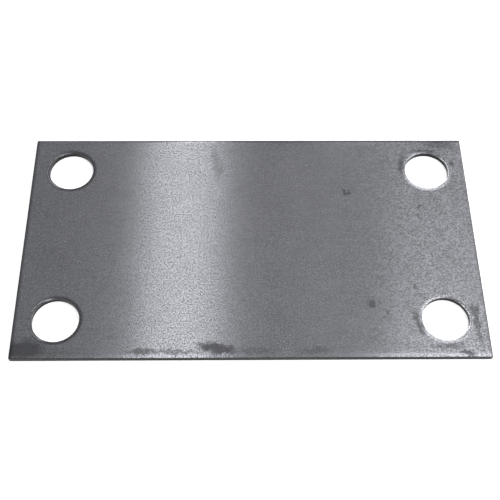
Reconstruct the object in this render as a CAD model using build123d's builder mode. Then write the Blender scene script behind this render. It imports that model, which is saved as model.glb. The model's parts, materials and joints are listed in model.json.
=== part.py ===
from build123d import *
import os

# Flat rectangular cover plate, cut from steel sheet on a shear and punched with one
# round bolt hole near each corner. It lies on its underside at Z = 0, its length runs
# along X, and every cut was made from above, so the rounded lips are on the top face.

# ---- Outline, in millimetres ----
plate_length = 250
plate_width = 140
sheet_thickness = 3

# ---- Bolt holes ----
hole_diameter = 25
hole_inset = 22  # centre of each hole from both of the edges that it is near

# ---- What the shear blade leaves along the four edges ----
edge_roll_width = 2.4  # strip of the top face that is dragged down beside the cut
edge_roll_depth = 0.45
edge_land_height = 1.1  # straight, burnished band under the rolled lip
edge_break_lean = 0.18  # the torn band below it leans in by the blade clearance

# ---- What the punch leaves round each hole ----
hole_roll_width = 1.8
hole_roll_depth = 0.35
hole_land_height = 1.2
hole_break_lean = 0.15  # the torn band opens out to the size of the die
punch_overrun = 2  # how far the punch's own shape runs past both faces

# ---- Worked out from the sizes above ----
hole_spacing_along = plate_length - 2 * hole_inset
hole_spacing_across = plate_width - 2 * hole_inset
hole_radius = hole_diameter / 2


def sheared_section(span, plane):
    """The sheet's cross-section on a plane, between two sheared edges that are span apart."""
    edge = span / 2
    lip_foot = sheet_thickness - edge_roll_depth
    land_foot = lip_foot - edge_land_height
    with BuildSketch(plane) as section:
        with BuildLine():
            roll = TangentArc((edge - edge_roll_width, sheet_thickness), (edge, lip_foot), tangent=(1, 0))
            Polyline(
                roll @ 1,
                (edge, land_foot),
                (edge - edge_break_lean, 0),
                (0, 0),
                (0, sheet_thickness),
                roll @ 0,
            )
        make_face()
        mirror(about=Plane.YZ)
    return section.sketch


# The space that the punch and die clear, standing on the Z axis: a straight land of the
# hole's own diameter, a rolled lip above it and a torn band that widens below it.
with BuildPart() as punched_hole:
    with BuildSketch(Plane.XZ):
        lip_foot = sheet_thickness - hole_roll_depth
        land_foot = lip_foot - hole_land_height
        die_radius = hole_radius + hole_break_lean
        lip_radius = hole_radius + hole_roll_width
        with BuildLine():
            roll = TangentArc((lip_radius, sheet_thickness), (hole_radius, lip_foot), tangent=(-1, 0))
            Polyline(
                roll @ 1,
                (hole_radius, land_foot),
                (die_radius, 0),
                (die_radius, -punch_overrun),
                (0, -punch_overrun),
                (0, sheet_thickness + punch_overrun),
                (lip_radius, sheet_thickness + punch_overrun),
                roll @ 0,
            )
        make_face()
    revolve(axis=Axis.Z)

with BuildPart() as cover_plate:
    # Sheared to width, as a strip that runs along X
    extrude(sheared_section(plate_width, Plane.YZ), amount=plate_length / 2, both=True)

    # Then sheared to length across the strip
    extrude(
        sheared_section(plate_length, Plane.XZ),
        amount=plate_width / 2,
        both=True,
        mode=Mode.INTERSECT,
    )

    # Then punched near each corner
    with GridLocations(hole_spacing_along, hole_spacing_across, 2, 2):
        add(punched_hole.part, mode=Mode.SUBTRACT)

cover_plate.part.label = "cover_plate"

os.makedirs("parts", exist_ok=True)
export_step(cover_plate.part, "parts/cover_plate.step")
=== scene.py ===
import json
import math

import bmesh
import bpy
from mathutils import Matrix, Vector, noise
from mathutils.geometry import delaunay_2d_cdt


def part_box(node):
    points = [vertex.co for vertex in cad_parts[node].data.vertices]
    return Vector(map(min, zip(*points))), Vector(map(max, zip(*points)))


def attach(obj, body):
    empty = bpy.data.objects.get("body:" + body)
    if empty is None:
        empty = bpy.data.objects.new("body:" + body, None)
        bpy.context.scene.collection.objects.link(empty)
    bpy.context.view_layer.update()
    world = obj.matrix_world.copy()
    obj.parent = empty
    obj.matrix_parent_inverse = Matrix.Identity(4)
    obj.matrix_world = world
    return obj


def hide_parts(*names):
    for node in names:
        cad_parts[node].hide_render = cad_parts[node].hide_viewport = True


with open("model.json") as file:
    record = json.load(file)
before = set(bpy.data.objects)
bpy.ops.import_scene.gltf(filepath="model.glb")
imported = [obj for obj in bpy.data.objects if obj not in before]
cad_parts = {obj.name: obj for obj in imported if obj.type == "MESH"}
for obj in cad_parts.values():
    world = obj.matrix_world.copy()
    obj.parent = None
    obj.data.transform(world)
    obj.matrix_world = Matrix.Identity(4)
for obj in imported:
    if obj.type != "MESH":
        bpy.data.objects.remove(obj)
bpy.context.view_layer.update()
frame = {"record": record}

# ---------------------------------------------------------------------------
# The cover plate. One flat piece of bare rolled mild steel, sheared to width
# and then to length, with a round bolt hole punched near each corner. Blade and
# punch came in from above, so every cut has its rolled lip on the top face.
# ---------------------------------------------------------------------------
mm = 0.001
low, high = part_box("cover_plate")
thickness = high.z - low.z
half_length = high.x
half_width = high.y
bolts = next(m["dims"] for m in frame["record"]["mounts"] if m["name"] == "corner_bolts")
hole_radius = bolts["hole_r_mm"] * mm
hole_reach_x = bolts["spacing_x_mm"] * mm / 2
hole_reach_y = bolts["spacing_y_mm"] * mm / 2
hole_centres = [Vector((x * hole_reach_x, y * hole_reach_y)) for x in (-1, 1) for y in (-1, 1)]

# The finishes: rolled faces and lips, the burnished land of a cut, and its torn foot
ROLLED, LAND, TORN = range(3)

# The section of a cut, from the flat top face over the lip and down to the die side. The foot of
# a sheared lip is burnished like the land under it, and a punched lip is rolled steel throughout.
sheared = {
    "roll_width": 2.4 * mm,
    "roll_depth": 0.4 * mm,
    "land": 1.1 * mm,
    "lean": 0.06 * mm,
    "lip_foot": LAND,
}
punched = {
    "roll_width": 1.8 * mm,
    "roll_depth": 0.3 * mm,
    "land": 1.2 * mm,
    "lean": 0.05 * mm,
    "lip_foot": ROLLED,
}
roll_steps = 8
land_steps = 3
torn_steps = 6
foot_width = 1.5 * mm
corner_blunting = 0.2 * mm
front_left_blunting = 0.55 * mm
blunting_growth = 0.3
corner_steps = 6
sheared_step = 0.8 * mm
punched_columns = 132
top_mesh = 1.5 * mm
underside_mesh = 3.0 * mm

# How uneven a cut is: shares of the lip's depth, then millimetres, then lengths
lip_sag, lip_ripple = 0.22, 0.1
land_wave, land_ripple = 0.22, 0.12
land_scuff = 0.012 * mm
torn_depth = 0.07 * mm
torn_height = 0.05 * mm


def wander(x, y, z, size):
    """Smooth noise between about -1 and 1 that changes over the given size."""
    return noise.noise(Vector((x, y, z)) / size)


def outline(inset):
    """Points round the plate, this far in from its cut edge: as many for every inset."""
    corners = [(1, 1), (-1, 1), (-1, -1), (1, -1)]
    arcs = []
    for turn, (side_x, side_y) in enumerate(corners):
        front_left = (side_x, side_y) == (-1, -1)
        at_the_cut = front_left_blunting if front_left else corner_blunting
        blunting = at_the_cut + blunting_growth * inset
        reach_x = half_length - inset - blunting
        reach_y = half_width - inset - blunting
        centre = Vector((side_x * reach_x, side_y * reach_y))
        angles = [math.pi / 2 * (turn + i / corner_steps) for i in range(corner_steps + 1)]
        arcs.append([centre + blunting * Vector((math.cos(a), math.sin(a))) for a in angles])
    points = []
    for turn, arc in enumerate(arcs):
        start, end = arc[-1], arcs[(turn + 1) % 4][0]
        run = 2 * (half_length if turn % 2 == 0 else half_width)
        count = round(run / sheared_step)
        points += arc[:-1] + [start.lerp(end, i / count) for i in range(count)]
    return points


def hole_ring(centre, inset):
    """Points round a hole, this far out from its wall, into the sheet."""
    angles = [math.tau * i / punched_columns for i in range(punched_columns)]
    return [centre + (hole_radius + inset) * Vector((math.cos(a), math.sin(a))) for a in angles]


def cut_profile(cut):
    """Rows of the cut from top to bottom: distance into the sheet, height, finish, roughness."""
    lip = thickness - cut["roll_depth"]
    land_foot = lip - cut["land"]
    rows = []
    for i in range(roll_steps + 1):
        s = i / roll_steps
        finish = cut["lip_foot"] if i == roll_steps else ROLLED
        rows.append((cut["roll_width"] * (1 - s), thickness - cut["roll_depth"] * s * s, finish, 0))
    for i in range(1, land_steps + 1):
        rows.append((0, lip - cut["land"] * i / land_steps, LAND, 0.15))
    for i in range(1, torn_steps + 1):
        s = i / torn_steps
        rows.append((cut["lean"] * s, land_foot * (1 - s), TORN, 1 if i < torn_steps else 0.3))
    rows.append((cut["lean"] + foot_width, 0, ROLLED, 0))
    return rows


def cut_rim(mesh, contour, cut):
    """Builds one cut all the way round, and returns its top and bottom rings of vertices."""
    at_cut, inward = contour(0), contour(1 * mm)
    rows = cut_profile(cut)
    land_top = thickness - cut["roll_depth"]
    rings = []
    for depth_in, height, finish, rough in rows:
        ring = []
        for start, further in zip(at_cut, inward):
            into_sheet = (further - start) / (1 * mm)
            x, y = start
            inset, z = depth_in, height
            if height >= land_top:
                share = 1 - depth_in / cut["roll_width"]
                sag = 1 + lip_sag * wander(x, y, 0, 9 * mm)
                sag += lip_ripple * wander(x, y, 5, 2.5 * mm)
                z = thickness - (thickness - height) * (1 + (sag - 1) * share)
            elif finish == LAND and rough:
                foot_share = (land_top - height) / cut["land"]
                wave = land_wave * wander(x, y, 1, 4 * mm)
                wave += land_ripple * wander(x, y, 2, 1.1 * mm)
                z += wave * mm * foot_share
                inset += land_scuff * wander(x, y, height * 0.15, 0.5 * mm)
            elif finish == TORN:
                grain = wander(x, y, height, 0.7 * mm) + 0.7 * wander(x, y, height, 0.33 * mm)
                inset += torn_depth * rough * grain
                z += torn_height * rough * wander(x, y, 7 + height, 0.5 * mm)
            place = start + into_sheet * inset
            ring.append(mesh.verts.new((place.x, place.y, z)))
        rings.append(ring)
    for (upper, lower), (_, _, finish, _) in zip(zip(rings, rings[1:]), rows[1:]):
        for i in range(len(upper)):
            j = (i + 1) % len(upper)
            face = mesh.faces.new((upper[i], lower[i], lower[j], upper[j]))
            face.material_index = finish
    return rings[0], rings[-1]


def fill_sheet(mesh, outer, inner_rings, spacing, clear_edge, clear_hole, height):
    """Fills the flat of a face between the outline's ring and the holes' rings."""
    loops = [outer] + inner_rings
    verts = [v for loop in loops for v in loop]
    edges = []
    start = 0
    for loop in loops:
        count = len(loop)
        edges += [(start + i, start + (i + 1) % count) for i in range(count)]
        start += count
    across = round(2 * half_length / spacing)
    along = round(2 * half_width / spacing)
    for i in range(1, across):
        for j in range(1, along):
            spot = Vector(((i / across * 2 - 1) * half_length, (j / along * 2 - 1) * half_width))
            from_edge = min(half_length - abs(spot.x), half_width - abs(spot.y))
            from_hole = min((spot - c).length for c in hole_centres) - hole_radius
            if from_edge > clear_edge + spacing / 2 and from_hole > clear_hole + spacing / 2:
                verts.append(mesh.verts.new((spot.x, spot.y, height)))
    flat = [Vector((v.co.x / mm, v.co.y / mm)) for v in verts]
    inside_the_loops = 1
    _, _, faces, origins, _, _ = delaunay_2d_cdt(flat, edges, [], inside_the_loops, 1e-5)
    for triangle in faces:
        corners = [verts[origins[i][0]] for i in triangle]
        middle = sum((v.co.xy for v in corners), Vector((0, 0))) / 3
        if min((middle - c).length for c in hole_centres) < hole_radius + clear_hole:
            continue
        face = mesh.faces.new(corners)
        face.material_index = ROLLED


plate_mesh = bmesh.new()
top_outer, foot_outer = cut_rim(plate_mesh, outline, sheared)
hole_rims = [cut_rim(plate_mesh, lambda d, c=c: hole_ring(c, d), punched) for c in hole_centres]
fill_sheet(
    plate_mesh, top_outer, [top for top, _ in hole_rims],
    top_mesh, sheared["roll_width"], punched["roll_width"], thickness,
)
fill_sheet(
    plate_mesh, foot_outer, [foot for _, foot in hole_rims],
    underside_mesh, sheared["lean"] + foot_width, punched["lean"] + foot_width, 0,
)
bmesh.ops.recalc_face_normals(plate_mesh, faces=plate_mesh.faces)

plate_data = bpy.data.meshes.new("cover_plate_steel")
plate_mesh.to_mesh(plate_data)
plate_mesh.free()
plate_data.shade_smooth()
plate_data.set_sharp_from_angle(angle=math.radians(32))
plate = bpy.data.objects.new("cover_plate_steel", plate_data)
bpy.context.collection.objects.link(plate)


class Nodes:
    """A material's node tree, with short calls to add a node and join it up."""

    def __init__(self, name):
        self.material = bpy.data.materials.new(name)
        self.material.use_nodes = True
        self.tree = self.material.node_tree
        self.tree.nodes.clear()

    def add(self, kind, inputs=(), **settings):
        """Adds a node, and gives its sockets a value or a link each."""
        node = self.tree.nodes.new(kind)
        for key, value in settings.items():
            setattr(node, key, value)
        self.fill(node, dict(inputs))
        return node

    def fill(self, node, inputs):
        """Links a socket to what feeds it, or sets its constant."""
        for key, value in inputs.items():
            if isinstance(value, bpy.types.NodeSocket):
                self.tree.links.new(value, node.inputs[key])
            else:
                node.inputs[key].default_value = value

    def maths(self, operation, a, b, c=0.0):
        """One sum of two values, or of three for MULTIPLY_ADD."""
        return self.add("ShaderNodeMath", {0: a, 1: b, 2: c}, operation=operation).outputs[0]

    def place(self):
        """Where the point is on the piece, in millimetres."""
        where = self.add("ShaderNodeTexCoord").outputs["Object"]
        scaled = self.add("ShaderNodeVectorMath", {0: where, "Scale": 1000}, operation="SCALE")
        return scaled.outputs[0]

    def stretched(self, place, x, y, z):
        """The place scaled along each axis: noise runs long where the factor is small."""
        by = self.add("ShaderNodeVectorMath", {0: place, 1: (x, y, z)}, operation="MULTIPLY")
        return by.outputs[0]

    def parts(self, place):
        """The place's x, y and z."""
        return self.add("ShaderNodeSeparateXYZ", {0: place}).outputs

    def about(self, place, x, y, reach_x=1, reach_y=1, turn=0):
        """The place as seen from a spot on the flat, as a share of that spot's half lengths."""
        node = self.add(
            "ShaderNodeMapping",
            {
                "Vector": place,
                "Location": (x, y, 0),
                "Rotation": (0, 0, math.radians(turn)),
                "Scale": (reach_x, reach_y, 1e6),
            },
            vector_type="TEXTURE",
        )
        return node.outputs[0]

    def noise(self, place, size, detail=2.0, rough=0.5):
        """Noise from 0 to 1 that changes over the given size in millimetres."""
        node = self.add(
            "ShaderNodeTexNoise",
            {"Vector": place, "Scale": 1 / size, "Detail": detail, "Roughness": rough},
        )
        return node.outputs["Fac"]

    def remap(self, value, low_in, high_in, low_out, high_out, smooth=False):
        """Carries a range over to another one, and holds at its ends."""
        node = self.add(
            "ShaderNodeMapRange",
            {"Value": value, 1: low_in, 2: high_in, 3: low_out, 4: high_out},
            interpolation_type="SMOOTHSTEP" if smooth else "LINEAR",
        )
        return node.outputs[0]

    def blend(self, share, a, b):
        """A colour between two others."""
        node = self.add("ShaderNodeMix", data_type="RGBA")
        self.fill(node, {0: share, 6: a, 7: b})
        return node.outputs[2]

    def surface(self, colour, roughness, normal=None):
        """Bare metal as a shader."""
        inputs = {"Base Color": colour, "Roughness": roughness, "Metallic": 1.0}
        if normal:
            inputs["Normal"] = normal
        return self.add("ShaderNodeBsdfPrincipled", inputs).outputs[0]

    def finished(self, shader):
        """Joins the shader to the output, and returns the material."""
        self.add("ShaderNodeOutputMaterial", {"Surface": shader})
        return self.material


# Smears and spots of oil and scale: centre and half lengths in millimetres, turn in degrees,
# strength
smears = [
    (-19, -64, 9, 3.0, -8, 1.0),
    (-14, -65.5, 8, 3.0, 0, 1.0),
    (2, -66, 12, 3.2, 0, 0.7),
    (-56, -66.3, 9, 1.7, 0, 0.7),
    (-40, -66.5, 14, 1.3, 0, 0.5),
    (33, -66.3, 9, 2.2, 3, 0.6),
    (-19.5, 53, 2.0, 12, 6, 0.32),
    (-17, 48, 2.0, 6, -20, 0.35),
    (54.4, 32.6, 1.2, 2.8, 30, 1.0),
    (56.5, 32.4, 1.1, 2.6, -35, 0.9),
    (64.2, -38.8, 2.2, 2.6, 0, 0.85),
    (73, -44.3, 1.8, 1.6, 0, 0.6),
    (96.7, 22.5, 2.2, 1.2, 20, 0.6),
    (118, 53, 1.4, 1.4, 0, 0.9),
    (88.7, -28.7, 1.6, 1.4, 0, 0.6),
    (-73.7, -57, 1.2, 1.0, 0, 0.7),
    (89, 51, 2.2, 8, -4, 0.7),
    (112, 67, 9, 2.8, 0, 0.6),
    (104, 62, 8, 1.6, 0, 0.7),
    (88.5, -50, 2.2, 8, 15, 0.75),
    (119.5, -53, 2.0, 12, 4, 0.75),
    (118.5, -43, 2.6, 4, 0, 0.8),
    (112.5, -68, 4, 1.6, 0, 1.0),
    (103, -64.0, 9, 1.6, 0, 0.5),
    (-117, -65, 12, 6.0, 0, 0.95),
    (-100, -66.5, 14, 3.0, 0, 0.35),
    (-104, 61.5, 8, 2.0, 0, 0.4),
]


def smear_mask(n, place):
    """Where the smears lie, from 0 to 1, with ragged edges."""
    ragged = n.add(
        "ShaderNodeTexNoise", {"Vector": place, "Scale": 1 / 3.0, "Detail": 3.0}
    ).outputs["Color"]
    push = n.add("ShaderNodeVectorMath", {0: ragged, 1: (0.5, 0.5, 0.5)}, operation="SUBTRACT")
    push = n.add("ShaderNodeVectorMath", {0: push.outputs[0], "Scale": 6}, operation="SCALE")
    moved = n.add("ShaderNodeVectorMath", {0: place, 1: push.outputs[0]}).outputs[0]
    mask = 0.0
    for x, y, reach_x, reach_y, turn, strength in smears:
        local = n.about(moved, x, y, reach_x, reach_y, turn)
        far = n.add("ShaderNodeVectorMath", {0: local}, operation="LENGTH").outputs["Value"]
        mask = n.maths("MAXIMUM", mask, n.remap(far, 1.35, 0.45, 0.0, strength, smooth=True))
    return mask


def painted_lip_light(n, place):
    """Painted light on the lips: a painted highlight on the near side of the right holes and on the
    front lip at the right, painted shade at the left holes and along the back and left edges.
    """
    x, y, _ = n.parts(place)
    shade = 1.0
    for centre in hole_centres:
        local = n.about(place, centre.x / mm, centre.y / mm)
        far = n.add("ShaderNodeVectorMath", {0: local}, operation="LENGTH").outputs["Value"]
        reach = hole_radius / mm
        on_lip = n.remap(far, reach + 2.3, reach + 1.2, 0.0, 1.0)
        near_side = n.remap(n.parts(local)[1], reach, -reach, 0.0, 1.0)
        # Right holes get a painted highlight on the near side of the lip; left holes get painted shade
        # all round it.
        painted_rim_highlight = n.remap(near_side, 0, 1, -0.1, 1.3) if centre.x > 0 else -0.5
        shade = n.maths("ADD", shade, n.maths("MULTIPLY", on_lip, painted_rim_highlight))
    # Painted shade on the back lip and the left lip, and a painted highlight on the front lip towards
    # the right.
    back = n.remap(y, half_width / mm - 1.9, half_width / mm - 0.9, 0.0, 1.0)
    back = n.maths("MULTIPLY", back, n.remap(x, -20, -8, 0.05, 0.55))
    left = n.remap(x, -half_length / mm + 0.9, -half_length / mm + 2.0, 0.4, 0.0)
    painted_edge_shade = n.maths("SUBTRACT", 1.0, n.maths("ADD", back, left))
    front = n.remap(y, 1.8 - half_width / mm, 2.6 - half_width / mm, 0.18, 0.0)
    front = n.maths("MULTIPLY", front, n.remap(x, 62, 76, 0.0, 1.0, smooth=True))
    return n.maths("MULTIPLY", n.maths("ADD", shade, front), painted_edge_shade)


steel_colour = (0.222, 0.224, 0.240)
glossy_roughness = 0.145
smear_roughness = 0.15
matt_roughness = 0.55
smeared_shade = 0.38
grain_depth = 0.000008


def rolled_steel():
    """The faces and lips: bright grains in a matt ground, cloudy, with faint rolling lines."""
    n = Nodes("rolled_steel_face")
    place = n.place()
    x, y, z = n.parts(place)
    upper = n.maths("GREATER_THAN", z, thickness / mm / 2)
    grain = n.noise(place, 0.76, 0.0)
    second = n.noise(n.stretched(place, 0.9, 1.1, 1), 0.5, 0.0)
    grain = n.maths("ADD", n.maths("MULTIPLY", grain, 0.62), n.maths("MULTIPLY", second, 0.38))
    coarse = n.noise(n.stretched(place, 0.75, 1.15, 1), 0.66, 0.0)
    mottle = n.noise(place, 2.6, 2.0, 0.6)
    cloud = n.noise(place, 14, 3.0, 0.6)
    lines = n.noise(n.stretched(place, 0.05, 1, 1), 1.3, 2.0, 0.5)
    # Coarse grain in the colour, part real grain and part painted glints: strongest towards the right
    # end, where the lamps shine in the steel, and faint at the front lip.
    right = n.remap(x, 45, 100, 0.25, 1.0, smooth=True)
    right = n.maths("MULTIPLY", right, n.remap(y, 1.8 - half_width / mm, 3.2 - half_width / mm, 0.2, 1))

    shade = n.remap(grain, 0.25, 0.75, 0.90, 1.10)
    coarse_grain_and_painted_glints = n.maths("MULTIPLY", right, n.remap(coarse, 0.3, 0.7, -0.33, 0.33))
    shade = n.maths("ADD", shade, coarse_grain_and_painted_glints)
    shade = n.maths("MULTIPLY", shade, n.remap(mottle, 0.3, 0.7, 0.955, 1.045))
    shade = n.maths("MULTIPLY", shade, n.remap(cloud, 0.3, 0.7, 0.96, 1.04))
    shade = n.maths("MULTIPLY", shade, n.remap(lines, 0.3, 0.7, 0.97, 1.03))
    # The lips' painted highlight and painted shade, on the top face only.
    lip_painted_light = n.maths("MULTIPLY_ADD", n.maths("SUBTRACT", painted_lip_light(n, place), 1.0), upper, c=1.0)
    shade = n.maths("MULTIPLY", shade, lip_painted_light)
    smear = n.maths("MULTIPLY", smear_mask(n, place), upper)
    shade = n.maths("MULTIPLY", shade, n.remap(smear, 0, 1, 1.0, smeared_shade))
    colour = n.add(
        "ShaderNodeVectorMath", {0: steel_colour, "Scale": shade}, operation="SCALE"
    ).outputs[0]
    rough = n.maths("ADD", glossy_roughness, n.maths("MULTIPLY", smear, smear_roughness))
    bump = n.add("ShaderNodeBump", {"Height": grain, "Strength": 1.0, "Distance": grain_depth})
    glossy = n.surface(colour, rough, bump.outputs[0])
    matt = n.surface(colour, matt_roughness, bump.outputs[0])
    bright_grains = n.remap(grain, 0.3, 0.7, -0.1, 1.6)
    steel = n.add("ShaderNodeMixShader", {0: bright_grains, 1: matt, 2: glossy})
    return n.finished(steel.outputs[0])


def land_steel():
    """The burnished band of a cut, dark, with streaks that run down it."""
    n = Nodes("burnished_cut")
    place = n.place()
    streaks = n.noise(n.stretched(place, 1, 1, 0.08), 0.35, 2.0, 0.6)
    # The colour is painted shade: far darker than bare steel, so the cut reads dark though it mirrors
    # the white bench.
    colour = n.blend(streaks, (0.022, 0.022, 0.022, 1), (0.045, 0.045, 0.046, 1))
    rough = n.remap(streaks, 0.3, 0.7, 0.30, 0.45)
    return n.finished(n.surface(colour, rough))


def torn_steel():
    """The torn band at the foot of a cut, darker and coarse."""
    n = Nodes("torn_cut")
    place = n.place()
    grain = n.noise(place, 0.4, 3.0, 0.6)
    # The colour is painted shade: far darker than bare steel, so the cut reads dark though it mirrors
    # the white bench.
    colour = n.blend(grain, (0.014, 0.014, 0.014, 1), (0.036, 0.036, 0.036, 1))
    rough = n.remap(grain, 0.3, 0.7, 0.5, 0.75)
    bump = n.add("ShaderNodeBump", {"Height": grain, "Strength": 1.0, "Distance": 0.00004})
    return n.finished(n.surface(colour, rough, bump.outputs[0]))


for finish in (rolled_steel(), land_steel(), torn_steel()):
    plate_data.materials.append(finish)
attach(plate, "root")
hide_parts("cover_plate")

# ---------------------------------------------------------------------------
# The bench that the plate lies on: a plain white board, a hair's breadth under the
# plate so that the two never share a face. It glows a little where it is looked at,
# straight or mirrored in the steel, so that it reads as white.
# ---------------------------------------------------------------------------
bench_reach = 3.0
bench_gap = 0.1 * mm
board_glow = 0.55
bench_data = bpy.data.meshes.new("bench")
bench_data.from_pydata(
    [(x * bench_reach, y * bench_reach, 0) for x, y in ((-1, -1), (1, -1), (1, 1), (-1, 1))],
    [],
    [(0, 1, 2, 3)],
)
bench = bpy.data.objects.new("bench", bench_data)
bpy.context.collection.objects.link(bench)
bench.location.z = -bench_gap
b = Nodes("white_board")
board = b.add("ShaderNodeBsdfDiffuse", {"Color": (0.86, 0.86, 0.86, 1)})
path = b.add("ShaderNodeLightPath")
seen = b.maths("MAXIMUM", path.outputs["Is Camera Ray"], path.outputs["Is Glossy Ray"])
seen = b.maths("MAXIMUM", seen, path.outputs["Is Transmission Ray"])
glow = b.add(
    "ShaderNodeEmission",
    {"Color": (1, 1, 1, 1), "Strength": b.maths("MULTIPLY", seen, board_glow)},
)
both = b.add("ShaderNodeAddShader", {0: board.outputs[0], 1: glow.outputs[0]})
bench_data.materials.append(b.finished(both.outputs[0]))

# ---------------------------------------------------------------------------
# Light: an even pale room with a white backdrop, and nine flat lamps overhead. Three
# make the bright band left of the middle, and six light the middle and the right end.
# Lamps that lie over each other hang at different heights, or one would hide the other.
# The wide and the back panel share a height, and meet along one edge.
# ---------------------------------------------------------------------------
room_colour = (0.97, 0.98, 1.0, 1)
room_brightness = 0.49
room = bpy.data.worlds.new("room")
room.use_nodes = True
room_nodes = room.node_tree.nodes
room_nodes["Background"].inputs["Color"].default_value = room_colour
room_nodes["Background"].inputs["Strength"].default_value = room_brightness
backdrop = room_nodes.new("ShaderNodeBackground")
backdrop.inputs["Color"].default_value = (1, 1, 1, 1)
by_ray = room_nodes.new("ShaderNodeMixShader")
room_links = room.node_tree.links
room_links.new(room_nodes.new("ShaderNodeLightPath").outputs["Is Camera Ray"], by_ray.inputs[0])
room_links.new(room_nodes["Background"].outputs[0], by_ray.inputs[1])
room_links.new(backdrop.outputs[0], by_ray.inputs[2])
room_links.new(by_ray.outputs[0], room_nodes["World Output"].inputs["Surface"])
bpy.context.scene.world = room


def panel(name, x_range, y_range, radiance, height):
    """A flat lamp that faces down, with an even glow of the given brightness."""
    size_x, size_y = x_range[1] - x_range[0], y_range[1] - y_range[0]
    lamp = bpy.data.lights.new(name, "AREA")
    lamp.shape = "RECTANGLE"
    lamp.size, lamp.size_y = size_x, size_y
    lamp.energy = radiance * math.pi * size_x * size_y
    holder = bpy.data.objects.new(name, lamp)
    bpy.context.collection.objects.link(holder)
    holder.location = (sum(x_range) / 2, sum(y_range) / 2, height)
    holder.visible_camera = False


panel("strip_lamp", (-0.2335, -0.050), (-0.60, 3.20), 2.60, 1.49)
panel("strip_front_lamp", (-0.2335, -0.050), (-0.60, 0.52), 0.80, 1.48)
panel("strip_back_lamp", (-0.24, -0.10), (1.45, 3.20), 1.40, 1.53)
panel("wide_panel", (0.120, 1.30), (-0.50, 1.25), 0.20, 1.50)
panel("right_panel", (0.375, 2.20), (-0.60, 1.20), 0.41, 1.51)
panel("right_middle_panel", (0.375, 2.20), (-0.60, 1.03), 0.31, 1.52)
panel("right_front_panel", (0.375, 2.20), (-0.60, 0.79), 0.43, 1.54)
panel("front_panel", (0.290, 2.20), (-0.60, 0.57), 1.30, 1.55)
panel("back_panel", (0.250, 3.00), (1.22, 3.80), 0.80, 1.50)

# ---------------------------------------------------------------------------
# Camera: a fairly long lens a little left of the middle, about 0.19 m in front of the
# plate and 0.43 m above it, tilted to look back across the whole plate.
# ---------------------------------------------------------------------------
camera_height = 0.4321
tilt, lean, twist = 30.645, -0.64, -0.55
camera_data = bpy.data.cameras.new("camera")
camera_data.sensor_width = 36
camera_data.lens = 65.67
camera_data.clip_start = 0.01
camera = bpy.data.objects.new("camera", camera_data)
camera.location = (-0.00746, -0.26149, thickness + camera_height)
camera.rotation_euler = [math.radians(angle) for angle in (tilt, lean, twist)]
bpy.context.collection.objects.link(camera)
scene = bpy.context.scene
scene.camera = camera
scene.view_settings.view_transform = "Standard"
